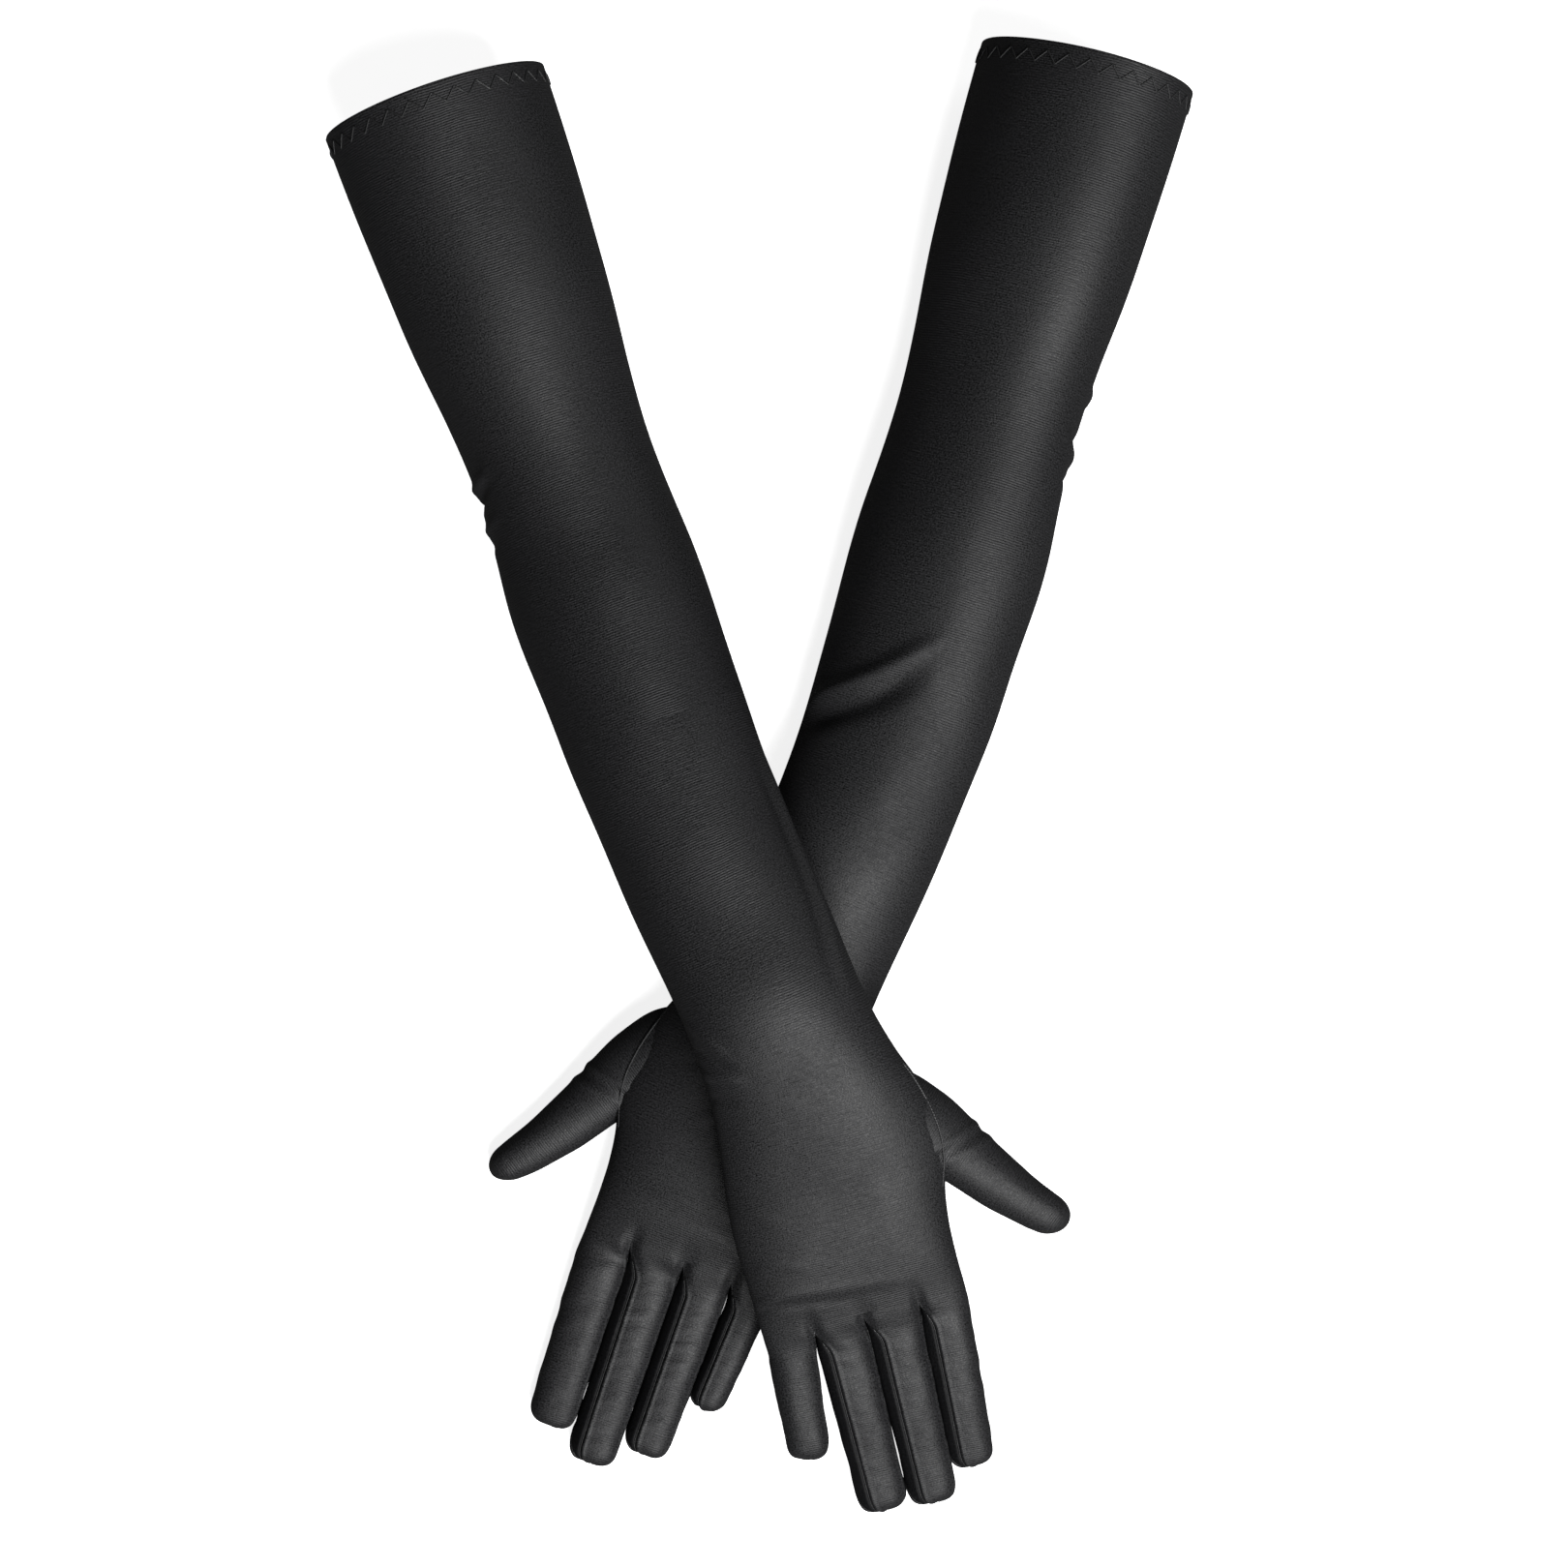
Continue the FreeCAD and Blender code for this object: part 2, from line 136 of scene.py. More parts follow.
# Sum of sine waves in set random directions: a soft random field between about -1 and 1.
def softField(x, y, scaleX, scaleY, seed, waves=7):
    pick = np.random.default_rng(seed)
    total = np.zeros(np.broadcast(x, y).shape)
    for turn, phase, pace in zip(pick.uniform(0, np.pi, waves), pick.uniform(0, 2 * np.pi, waves),
                                 pick.uniform(0.6, 1.6, waves)):
        total += np.sin(2 * np.pi * pace * (x / scaleX * np.cos(turn) + y / scaleY * np.sin(turn)) + phase)
    return total / np.sqrt(waves) / 1.4


# Straight lines through the stops, their corners rounded by a bell-shaped average over bellWidth steps each
# way.
def rounded(stops, places):
    fine = np.arange(*lineWalk["corners"], lineWalk["step"])
    values = np.interp(fine, *zip(*stops))
    reach = lineWalk["bellReach"]
    bell = np.exp(-(np.arange(-reach, reach + 1) / lineWalk["bellWidth"]) ** 2)
    values = np.convolve(np.pad(values, reach, "edge"), bell / bell.sum(), "valid")
    return np.interp(places, fine, values)


# Plan of the arm's middle line: unit steps along its heading, summed outwards from the wrist.
def planLine(lie, places):
    fine = np.arange(*lineWalk["plan"], lineWalk["step"])
    heading = np.radians(rounded(lie["headings"], fine))
    x = np.cumsum(np.sin(heading)) * lineWalk["step"] * lie["side"]
    y = np.cumsum(-np.cos(heading)) * lineWalk["step"]
    wrist = joints[lie["wristJoint"]]["pos_m"]
    lineX = np.interp(places, fine, x) - np.interp(0.0, fine, x) + wrist[0]
    lineY = np.interp(places, fine, y) - np.interp(0.0, fine, y) + wrist[1]
    turn = np.radians(rounded(lie["headings"], places))
    along = np.stack([lie["side"] * np.sin(turn), -np.cos(turn), 0 * turn], -1)
    across = np.stack([lie["side"] * np.cos(turn), np.sin(turn), 0 * turn], -1)
    return np.stack([lineX, lineY, 0 * lineX], -1), along, across


# Point of the hand's plan: its own straight frame, along from the wrist and across towards the thumb.
def handPoint(lie, along, across):
    root, forward, sideways = planLine(lie, np.array([armShape["knucklePlace"]]))
    along, across = np.broadcast_arrays(along, across)
    onward = along[..., None] - armShape["knucklePlace"]
    return root[0] + forward[0] * onward + sideways[0] * across[..., None]


# Half height of the hand over its middle at (along, across): a superellipse, dipped between the fingers.
def handHalfHeight(along, across):
    half = halfWidth(along, across > 0)
    fullness = curveThrough(armShape["fullness"], along)
    inside = np.clip(1 - np.abs(across / half) ** fullness, 0, 1)
    height = curveThrough(armShape["height"], along) / 2 * inside ** (1 / fullness)
    end = armShape["knucklePlace"]
    ramp = smoothStep(end - armShape["crotchDipReach"], end + 0.006, along)
    for middle in armShape["crotchAcross"]:
        fromCrotch = (across - middle) / armShape["crotchDipWidth"]
        height = height - ramp * armShape["crotchDip"] * np.exp(-fromCrotch ** 2)
    return height


# Surface of the arm and hand: at each place a closed ring, radial edge at angle 0 and back at a quarter
# turn.
def armSurface(lie, places, angles):
    centre, _, across = planLine(lie, places)
    cosine, sine = np.cos(angles)[None, :], np.sin(angles)[None, :]
    fullness = curveThrough(armShape["fullness"], places)[:, None]
    spread = lie["cuffSpread"] * smoothStep(-0.2, -0.36, places)[:, None]
    half = halfWidth(places[:, None], cosine > 0) + spread / 2
    height = curveThrough(armShape["height"], places)[:, None] - spread
    lean = rounded(lie["lean"], places)[:, None]
    half = np.sqrt(half ** 2 - (lean * height / 2) ** 2)    # leaning or upright, as wide in plan
    sideways = signedPower(cosine, 2 / fullness) * half
    upward = signedPower(sine, 2 / fullness) * height / 2
    inHand = smoothStep(0.095, 0.105, places)[:, None]
    dipped = handHalfHeight(np.broadcast_to(places[:, None], sideways.shape), sideways) * np.sign(sine)
    upward = upward * (1 - inHand) + dipped * inHand
    lift = rounded(lie["lifts"], places)[:, None]
    sideways = sideways - lean * upward
    return centre[:, None, :] + across[:, None, :] * sideways[..., None] + \
        np.array([0, 0, 1.0]) * (lift + height / 2 + upward)[..., None]


# Unit normals of a grid of points, from its steps along and around; closed grids wrap round.
def gridNormals(points, closed, outward):
    alongStep = np.gradient(points, axis=0)
    if closed:
        aroundStep = np.roll(points, -1, axis=1) - np.roll(points, 1, axis=1)
    else:
        aroundStep = np.gradient(points, axis=1)
    normals = np.cross(alongStep, aroundStep) * outward
    return normals / np.maximum(np.linalg.norm(normals, axis=-1, keepdims=True), 1e-12)


# Puts a mesh into the scene as an object at the origin.
def showMesh(name, mesh):
    piece = bpy.data.objects.new(name, mesh)
    bpy.context.scene.collection.objects.link(piece)
    return piece


# Double-walled cloth from a grid: the outer face, an inner face one cloth thickness under it, and rims at
# its edges. Faces turn outwards; the lengths measured along and around the grid are its UV map, in metres.
# With a pole the last row is one point, and the faces next to it are triangles.
def clothPiece(name, points, normals, thickness, closed, outward, materials, pole=False):
    rows, columns = points.shape[:2]
    inner = points - normals * thickness
    points, inner = [np.concatenate([grid[..., :2], np.maximum(grid[..., 2:], low)], -1)
                     for grid, low in ((points, 0.0), (inner, thickness))]    # pressed flat where they rest
    full = rows - 1 if pole else rows
    count = full * columns + pole

    def packed(grid):
        flat = grid[:full].reshape(-1, 3)
        return np.concatenate([flat, grid[-1:].mean(axis=1)]) if pole else flat

    stepAround = np.linalg.norm(np.roll(points, -1, axis=1) - points, axis=-1)
    lengthAround = np.concatenate([np.zeros((rows, 1)), np.cumsum(stepAround, axis=1)], axis=1)
    lengthAround = lengthAround - lengthAround[:, columns // 2][:, None]
    lengthAlong = np.concatenate([[0], np.cumsum(np.linalg.norm(np.diff(points, axis=0),
                                                                axis=-1).mean(axis=1))])
    columnIndex = np.arange(columns if closed else columns - 1)
    nextColumn = (columnIndex + 1) % columns
    rowIndex = np.arange(full - 1)[:, None]
    quads = np.stack([rowIndex * columns + columnIndex, rowIndex * columns + nextColumn,
                      (rowIndex + 1) * columns + nextColumn, (rowIndex + 1) * columns + columnIndex], -1)
    quadMap = np.stack([np.stack(np.broadcast_arrays(lengthAround[rowIndex + down, columnIndex + right],
                                                     lengthAlong[rowIndex + down]), -1)
                        for down, right in ((0, 0), (0, 1), (1, 1), (1, 0))], 2)
    shells = [(quads.reshape(-1, 4), quadMap.reshape(-1, 4, 2))]
    if pole:
        last = (full - 1) * columns
        caps = np.stack([last + columnIndex, last + nextColumn, np.full(columnIndex.size, count - 1)], -1)
        capMap = np.stack([np.stack([lengthAround[full - 1, columnIndex + right],
                                     np.full(columnIndex.size, lengthAlong[full - 1 + down])], -1)
                           for down, right in ((0, 0), (0, 1), (1, 0))], 1)
        shells.append((caps, capMap))
    faces, maps, slots = [], [], []
    for corners, places in shells:
        if outward > 0:
            corners, places = corners[:, ::-1], places[:, ::-1]
        faces += corners.tolist() + (corners[:, ::-1] + count).tolist()
        maps += [places.reshape(-1, 2), places[:, ::-1].reshape(-1, 2)]
        slots += [0] * len(corners) + [1] * len(corners)
    ring, end = np.arange(columns), (full - 1) * columns + np.arange(columns)
    side = np.arange(full) * columns
    if closed:
        rims = [(ring, np.roll(ring, -1), outward)] + ([] if pole else [(end, np.roll(end, -1), -outward)])
    else:
        near = np.concatenate([side, [count - 1]]) if pole else side
        far = np.concatenate([side + columns - 1, [count - 1]]) if pole else side + columns - 1
        rims = [(ring[:-1], ring[1:], outward), (near[:-1], near[1:], -outward),
                (far[:-1], far[1:], outward)]
        rims += [] if pole else [(end[:-1], end[1:], -outward)]
    for first, second, turn in rims:
        rim = np.stack([first, second, second + count, first + count], -1)
        rim = rim if turn > 0 else rim[:, ::-1]
        faces += rim.tolist()
        maps.append(np.zeros((rim.size, 2)))
        slots += [0] * len(rim)
    mesh = bpy.data.meshes.new(name)
    mesh.from_pydata(np.concatenate([packed(points), packed(inner)]).tolist(), [], faces)
    mesh.uv_layers.new(name="cloth").data.foreach_set("uv", np.concatenate(maps).ravel())
    mesh.polygons.foreach_set("use_smooth", np.ones(len(faces), bool))
    mesh.polygons.foreach_set("material_index", slots)
    for material in materials:
        mesh.materials.append(material)
    turned = np.concatenate([packed(normals), -packed(normals)])
    turned /= np.maximum(np.linalg.norm(turned, axis=-1, keepdims=True), 1e-9)
    mesh.normals_split_custom_set_from_vertices(turned.tolist())
    return showMesh(name, mesh)


# Threads: a small ring of points carried along each path, standing on the cloth's normals there.
def threadPiece(name, paths, radius, closed, material, around=6):
    vertices, faces = [], []
    for path, normals in paths:
        ahead = np.roll(path, -1, axis=0) - np.roll(path, 1, axis=0) if closed else np.gradient(path,
                                                                                                axis=0)
        ahead = ahead / np.linalg.norm(ahead, axis=-1, keepdims=True)
        sideways = np.cross(ahead, normals)
        sideways = sideways / np.linalg.norm(sideways, axis=-1, keepdims=True)
        upward = np.cross(sideways, ahead)
        angle = np.linspace(0, 2 * np.pi, around, endpoint=False)
        cosine, sine = np.cos(angle)[None, :, None], np.sin(angle)[None, :, None]
        ring = cosine * upward[:, None] + sine * sideways[:, None]
        base = sum(len(part) for part in vertices)
        vertices.append((path[:, None] + ring * radius).reshape(-1, 3))
        stops, turn = len(path), np.arange(around)
        start = np.arange(stops if closed else stops - 1)[:, None]
        after = (start + 1) % stops
        quads = np.stack([start * around + turn, after * around + turn,
                          after * around + (turn + 1) % around,
                          start * around + (turn + 1) % around], -1)
        faces += (quads.reshape(-1, 4) + base).tolist()
        if not closed:
            faces += [(base + turn).tolist(), (base + (stops - 1) * around + turn[::-1]).tolist()]
    mesh = bpy.data.meshes.new(name)
    mesh.from_pydata(np.concatenate(vertices).tolist(), [], faces)
    mesh.polygons.foreach_set("use_smooth", np.ones(len(faces), bool))
    mesh.materials.append(material)
    piece = showMesh(name, mesh)
    return piece


satinLook = {
    "color": (0.011, 0.011, 0.0118), "ribPitch": 0.0009, "ribDepth": 0.00007, "grainDepth": 0.00016,
    "roughness": 0.53, "level": 0.27,
}
liningLook = {
    "color": (0.008, 0.008, 0.009), "ribDepth": 0.00001, "grainDepth": 0.00006, "roughness": 0.75,
    "level": 0.15,
}
# Strip cloth between the fingers: the same satin, its colour darkened to paint the shade that falls between
# the fingers.
shadeStripLook = {
    "color": (0.004, 0.004, 0.0045), "ribDepth": 0.00001, "grainDepth": 0.00004, "roughness": 0.62,
    "level": 0.12,
}
threadLook = {
    "color": (0.018, 0.018, 0.019), "strandScale": 900, "strandWander": 1.5, "darkShare": 0.5,
    "bump": 0.00008,
    "roughness": 0.45,
}
# Scales of the weave's noises are waves a metre; tones and roughs say how much each one changes the satin.
weaveShape = {
    "wanderScale": 60, "wanderReach": 0.0016, "patchScale": 28, "patchStretch": (1, 0.5, 1),
    "grainScale": 1500,
    "slubScale": 500, "slubStretch": (0.35, 1.6, 1), "ribTone": 0.30, "grainTone": 4.5, "slubTone": 0.5,
    "patchTone": 0.5, "patchRough": 0.18, "grainRough": 0.7, "ribFade": (2.4, -0.7), "ribLeast": 0.1,
}


def setInputs(node, values):
    for label, value in values.items():
        node.inputs[label].default_value = value


# Satin face shared by every cloth: ribs across the arm, a fine grain, and soft patches that shine more or
# less.
def makeWeaveGroup():
    group = bpy.data.node_groups.new("satinWeave", "ShaderNodeTree")
    for label, side, kind in (("Cloth", "INPUT", "Vector"), ("Color", "INPUT", "Color"),
                              ("Rib Pitch", "INPUT", "Float"), ("Rib Depth", "INPUT", "Float"),
                              ("Grain Depth", "INPUT", "Float"), ("Roughness", "INPUT", "Float"),
                              ("Color", "OUTPUT", "Color"), ("Roughness", "OUTPUT", "Float"),
                              ("Height", "OUTPUT", "Float")):
        group.interface.new_socket(label, in_out=side, socket_type="NodeSocket" + kind)
    nodes, links = group.nodes, group.links
    source, target = nodes.new("NodeGroupInput"), nodes.new("NodeGroupOutput")

    def maths(operation, first, second=None, third=None):
        node = nodes.new("ShaderNodeMath")
        node.operation = operation
        for slot, value in enumerate((first, second, third)):
            if value is None:
                continue
            if isinstance(value, (int, float)):
                node.inputs[slot].default_value = value
            else:
                links.new(value, node.inputs[slot])
        return node.outputs[0]

    def noise(scale, detail, stretch=(1, 1, 1)):
        mapping = nodes.new("ShaderNodeMapping")
        mapping.inputs["Scale"].default_value = stretch
        links.new(source.outputs["Cloth"], mapping.inputs["Vector"])
        node = nodes.new("ShaderNodeTexNoise")
        setInputs(node, {"Scale": scale, "Detail": detail})
        links.new(mapping.outputs["Vector"], node.inputs["Vector"])
        return node.outputs["Fac"]

    split = nodes.new("ShaderNodeSeparateXYZ")
    links.new(source.outputs["Cloth"], split.inputs[0])
    wander = maths("MULTIPLY", maths("SUBTRACT", noise(weaveShape["wanderScale"], 2), 0.5),
                   weaveShape["wanderReach"])
    place = maths("ADD", split.outputs["Y"], wander)
    rib = maths("SINE", maths("MULTIPLY", maths("DIVIDE", place, source.outputs["Rib Pitch"]), 6.2832))
    patches = noise(weaveShape["patchScale"], 2, weaveShape["patchStretch"])
    ribMask = maths("MULTIPLY_ADD", patches, *weaveShape["ribFade"])
    ribMask = maths("MINIMUM", maths("MAXIMUM", ribMask, weaveShape["ribLeast"]), 1.0)
    rib = maths("MULTIPLY", rib, ribMask)
    grain = maths("SUBTRACT", noise(weaveShape["grainScale"], 2), 0.5)
    slub = maths("SUBTRACT", noise(weaveShape["slubScale"], 2, weaveShape["slubStretch"]), 0.5)
    height = maths("MULTIPLY", rib, source.outputs["Rib Depth"])
    height = maths("ADD", height, maths("MULTIPLY", grain, source.outputs["Grain Depth"]))
    height = maths("ADD", height, maths("MULTIPLY", slub, source.outputs["Grain Depth"]))
    links.new(height, target.inputs["Height"])
    bright = maths("MULTIPLY_ADD", rib, weaveShape["ribTone"], 1.0)
    bright = maths("ADD", bright, maths("MULTIPLY", grain, weaveShape["grainTone"]))
    bright = maths("ADD", bright, maths("MULTIPLY", slub, weaveShape["slubTone"]))
    bright = maths("MULTIPLY", bright, maths("MULTIPLY_ADD", patches, weaveShape["patchTone"], 0.75))
    scaled = nodes.new("ShaderNodeVectorMath")
    scaled.operation = "SCALE"
    links.new(source.outputs["Color"], scaled.inputs[0])
    links.new(bright, scaled.inputs["Scale"])
    links.new(scaled.outputs[0], target.inputs["Color"])
    patchy = maths("MULTIPLY", maths("SUBTRACT", patches, 0.5), weaveShape["patchRough"])
    rough = maths("ADD", source.outputs["Roughness"], patchy)
    rough = maths("ADD", rough, maths("MULTIPLY", grain, weaveShape["grainRough"]))
    links.new(rough, target.inputs["Roughness"])
    return group


def newMaterial(name):
    material = bpy.data.materials.new(name)
    material.use_nodes = True
    return material, material.node_tree.nodes, material.node_tree.links


# One cloth material: the shared satin weave with the colour, depths, roughness and gloss level of its look.
def clothMaterial(name, look):
    material, nodes, links = newMaterial(name)
    shader = nodes["Principled BSDF"]
    uv = nodes.new("ShaderNodeUVMap")
    uv.uv_map = "cloth"
    weave = nodes.new("ShaderNodeGroup")
    weave.node_tree = weaveGroup
    setInputs(weave, {"Color": (*look["color"], 1), "Rib Pitch": satinLook["ribPitch"],
                      "Rib Depth": look["ribDepth"], "Grain Depth": look["grainDepth"],
                      "Roughness": look["roughness"]})
    bump = nodes.new("ShaderNodeBump")
    setInputs(bump, {"Strength": 1.0, "Distance": 1.0})
    links.new(uv.outputs["UV"], weave.inputs["Cloth"])
    links.new(weave.outputs["Color"], shader.inputs["Base Color"])
    links.new(weave.outputs["Roughness"], shader.inputs["Roughness"])
    links.new(weave.outputs["Height"], bump.inputs["Height"])
    links.new(bump.outputs["Normal"], shader.inputs["Normal"])
    shader.inputs["Specular IOR Level"].default_value = look["level"]
    return material


# Twisted thread: its strands show as slanted bands along the piece.
def threadMaterial(name, look):
    material, nodes, links = newMaterial(name)
    shader = nodes["Principled BSDF"]
    place = nodes.new("ShaderNodeTexCoord")
    strands = nodes.new("ShaderNodeTexWave")
    strands.wave_type, strands.bands_direction = "BANDS", "DIAGONAL"
    setInputs(strands, {"Scale": look["strandScale"], "Distortion": look["strandWander"]})
    ramp = nodes.new("ShaderNodeValToRGB")
    ramp.color_ramp.elements[0].color = (*(value * look["darkShare"] for value in look["color"]), 1)
    ramp.color_ramp.elements[1].color = (*look["color"], 1)
    bump = nodes.new("ShaderNodeBump")
    bump.inputs["Distance"].default_value = look["bump"]
    links.new(place.outputs["Object"], strands.inputs["Vector"])
    links.new(strands.outputs["Fac"], ramp.inputs["Fac"])
    links.new(ramp.outputs["Color"], shader.inputs["Base Color"])
    links.new(strands.outputs["Fac"], bump.inputs["Height"])
    links.new(bump.outputs["Normal"], shader.inputs["Normal"])
    shader.inputs["Roughness"].default_value = look["roughness"]
    return material


weaveGroup = makeWeaveGroup()
satin = clothMaterial("satinFace", satinLook)
lining = clothMaterial("satinReverse", liningLook)
# strip satin: its darker colour is painted shade between the fingers
shadeStripSatin = clothMaterial("satinStripPaintedShade", shadeStripLook)
thread = threadMaterial("blackThread", threadLook)
print("materials made")


# Sleeve: from the turned-in hem round its fold and down to the middle of the forearm.
def makeSleeve(glove, lie):
    fold = armShape["foldRadius"]
    edge = lie["cuffPlace"]
    turn = np.linspace(0, np.pi, 9)
    hemRows = 13
    places = np.concatenate([np.linspace(edge + armShape["hemDepth"], edge + fold, hemRows + 1)[:-1],
                             edge + fold - fold * np.sin(turn),
                             np.arange(edge + 2 * fold, armShape["splitPlace"] - 1e-6, armShape["rows"]),
                             [armShape["splitPlace"], armShape["splitPlace"] + armShape["rows"]]])
    depths = np.concatenate([np.full(hemRows, 2 * fold), fold + fold * np.cos(turn),
                             np.zeros(len(places) - hemRows - len(turn))])
    angles = np.linspace(0, 2 * np.pi, armShape["columns"], endpoint=False)
    outward = -lie["side"]
    base = armSurface(lie, places, angles)
    beyond = armSurface(lie, places + 1e-4, angles)
    aroundStep = np.roll(base, -1, axis=1) - np.roll(base, 1, axis=1)
    baseNormal = np.cross(beyond - base, aroundStep) * outward
    baseNormal /= np.linalg.norm(baseNormal, axis=-1, keepdims=True)
    points = base + baseNormal * (sleeveRelief(glove, places, angles) - depths[:, None])[..., None]
    normals = gridNormals(points, True, outward)
    piece = clothPiece(glove + "_sleeve", points[:-1], normals[:-1], armShape["cloth"], True, outward,
                       (satin, lining))
    start, end = planLine(lie, np.array(armShape["elbowBlend"]))[0]
    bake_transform(piece)
    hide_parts(*[glove + "_" + node for node in ("sleeve_upper", "cuff_hem", "elbow_stretch",
                                                         "side_seam_upper")])


# Forearm and hand in one cloth, from the middle of the forearm to the roots of the fingers.
def makeHand(glove, lie):
    places = np.concatenate([[armShape["splitPlace"] - armShape["rows"]],
                             np.arange(armShape["splitPlace"], armShape["knucklePlace"] - 1e-6,
                                       armShape["rows"]),
                             [armShape["knucklePlace"], armShape["knucklePlace"] + 0.0005]])
    angles = np.linspace(0, 2 * np.pi, armShape["columns"], endpoint=False)
    outward = -lie["side"]
    base = armSurface(lie, places, angles)
    baseNormal = gridNormals(base, True, outward)
    points = base + baseNormal * sleeveRelief(glove, places, angles)[..., None]
    normals = gridNormals(points, True, outward)
    piece = clothPiece(glove + "_hand", points[1:-1], normals[1:-1], armShape["cloth"], True, outward,
                       (satin, lining))
    start, end = planLine(lie, np.array(armShape["wristBlend"]))[0]
    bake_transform(piece)
    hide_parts(*[glove + "_" + node for node in ("sleeve_forearm", "wrist_stretch",
                                                         "side_seam_forearm",
                                                         "hand_panel", "knuckle_band")])


# Creases: each one starts and ends at (place, angle in degrees), with its half width and how far it stands
# out or sinks in. angle 0 is the thumb side, 90 the back of the hand, 180 the little-finger side.
creaseShape = {
    "right": [
        ((-0.2180, 150), (-0.2120, 196), 0.0020, -0.0016), ((-0.2230, 145), (-0.2200, 200), 0.0020, 0.0012),
        ((-0.2060, 150), (-0.2040, 195), 0.0022, 0.0011), ((-0.1980, 160), (-0.1990, 195), 0.0018, -0.0007),
        ((-0.0900, 12), (-0.0050, 30), 0.0030, 0.0014), ((-0.0850, 26), (-0.0100, 42), 0.0028, -0.0008),
        ((-0.0100, 168), (0.0060, 135), 0.0020, 0.0009), ((0.0020, 172), (0.0130, 135), 0.0018, -0.0009),
        ((0.0130, 172), (0.0190, 130), 0.0020, 0.0009), ((0.0240, 172), (0.0270, 138), 0.0018, -0.0006),
        ((0.1040, 158), (0.1085, 72), 0.0022, 0.0006), ((0.1078, 165), (0.1115, 88), 0.0017, -0.0005),
        ((0.0920, 150), (0.0935, 110), 0.0022, 0.0004), ((0.0680, 160), (0.0760, 120), 0.0030, 0.0004),
    ],
    "left": [
        ((-0.2220, 150), (-0.2150, 200), 0.0020, -0.0016), ((-0.2160, 148), (-0.2090, 195), 0.0020, 0.0013),
        ((-0.2380, 155), (-0.2330, 200), 0.0022, 0.0012), ((-0.2050, 155), (-0.2010, 195), 0.0020, -0.0010),
        ((-0.0980, 10), (-0.1290, 80), 0.0034, 0.0024), ((-0.0880, 12), (-0.1150, 76), 0.0046, -0.0026),
        ((0.0180, 130), (0.0130, 60), 0.0022, 0.0010), ((0.0240, 130), (0.0200, 55), 0.0020, -0.0008),
        ((0.0330, 125), (0.0380, 60), 0.0024, 0.0008), ((0.0400, 120), (0.0450, 60), 0.0022, -0.0006),
        ((0.0560, 120), (0.0640, 75), 0.0028, 0.0006), ((0.0760, 118), (0.0700, 70), 0.0034, 0.0005),
        ((0.1000, 125), (0.0960, 70), 0.0024, 0.0005), ((0.1060, 122), (0.1030, 66), 0.0020, -0.0004),
    ],
    "unevenness": 0.00022, "wavePace": (0.07, 0.045), "halfRound": 0.030, "bow": 0.06,
    "sideSeam": 180, "seamFade": (0.06, 0.02), "seamDip": 0.0004, "seamDipWidth": 0.0007,
    "weltRise": 0.00025, "weltPlace": 0.0018, "weltWidth": 0.0009,
}


# Relief of the arm's cloth along its normal: a faint unevenness, the creases, each a bell across its own
# line and fading at its ends, and the side seam sunk between two welts on the little-finger side.
def sleeveRelief(glove, places, angles):
    along, turn = places[:, None], np.degrees(angles)[None, :]
    seamless = smoothStep(armShape["knucklePlace"], armShape["knucklePlace"] - 0.02, along)
    wave = softField(along, 0.033 * np.cos(angles)[None, :], *creaseShape["wavePace"], 5)
    wave = wave + softField(along, 0.033 * np.sin(angles)[None, :], *creaseShape["wavePace"], 6)
    relief = creaseShape["unevenness"] * wave * seamless
    reach = creaseShape["halfRound"] * np.pi / 180
    for (startPlace, startTurn), (endPlace, endTurn), width, depth in creaseShape[glove]:
        run = np.array([endPlace - startPlace, (endTurn - startTurn) * reach])
        length = np.hypot(*run)
        offPlace, offTurn = along - startPlace, (turn - startTurn) * reach
        share = (offPlace * run[0] + offTurn * run[1]) / length ** 2
        aside = (offPlace * run[1] - offTurn * run[0]) / length
        bow = creaseShape["bow"] * length * np.sin(np.pi * np.clip(share, 0, 1))
        ends = smoothStep(-0.25, 0.25, share) * smoothStep(1.25, 0.75, share)
        relief = relief + depth * ends * np.exp(-((aside - bow) / width) ** 2)
    fromSeam = (turn - creaseShape["sideSeam"]) * reach
    seamEnd = smoothStep(*creaseShape["seamFade"], along)
    seam = np.exp(-(fromSeam / creaseShape["seamDipWidth"]) ** 2)
    relief = relief - creaseShape["seamDip"] * seamEnd * seam
    fromWelt = (np.abs(fromSeam) - creaseShape["weltPlace"]) / creaseShape["weltWidth"]
    return relief + creaseShape["weltRise"] * seamEnd * np.exp(-fromWelt ** 2)


